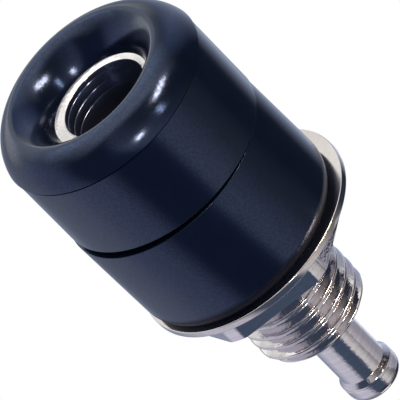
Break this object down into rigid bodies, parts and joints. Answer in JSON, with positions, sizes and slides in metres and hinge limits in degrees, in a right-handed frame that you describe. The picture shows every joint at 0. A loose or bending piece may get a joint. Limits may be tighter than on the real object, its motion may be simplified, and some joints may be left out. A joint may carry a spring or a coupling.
{
  "type": "banana socket",
  "caption": "Insulated panel socket for 4 mm banana plugs: black lipped front, rear ring, metal bush with threaded shank, washer, hex nut and solder pin.",
  "frame": {"origin": "on the axis, in the plane of the panel's front face, where the front insulator sits", "axes": "+Z along the axis out of the mouth, -Z towards the solder pin; the loose washer hangs towards +X"},
  "size_m": [0.0117, 0.0116, 0.0238],
  "materials": {
    "black_insulator": "moulded, satin gloss",
    "nickel_brass": "turned, bright nickel plating",
    "nickel_steel": "stamped, nickel plating"
  },
  "bodies": {
    "socket": {"front_insulator": "black_insulator", "socket_bush": "nickel_brass"},
    "clamp": {"rear_insulator": "black_insulator", "washer": "nickel_steel"},
    "nut": {"hex_nut": "nickel_brass"}
  },
  "joints": [
    {"name": "clamp_slide", "type": "slide", "parent": "socket", "child": "clamp", "axis": [0, 0, -1], "range_m": [0, 0.003]},
    {"name": "nut_turn", "type": "hinge", "parent": "clamp", "child": "nut", "pos_m": [0, 0, -0.00656], "axis": [0, 0, -1], "range_deg": [0, 1440]}
  ],
  "couplings": [
    {"joint": "nut_turn", "follows": "clamp_slide", "rad_per_m": 8377.6}
  ]
}
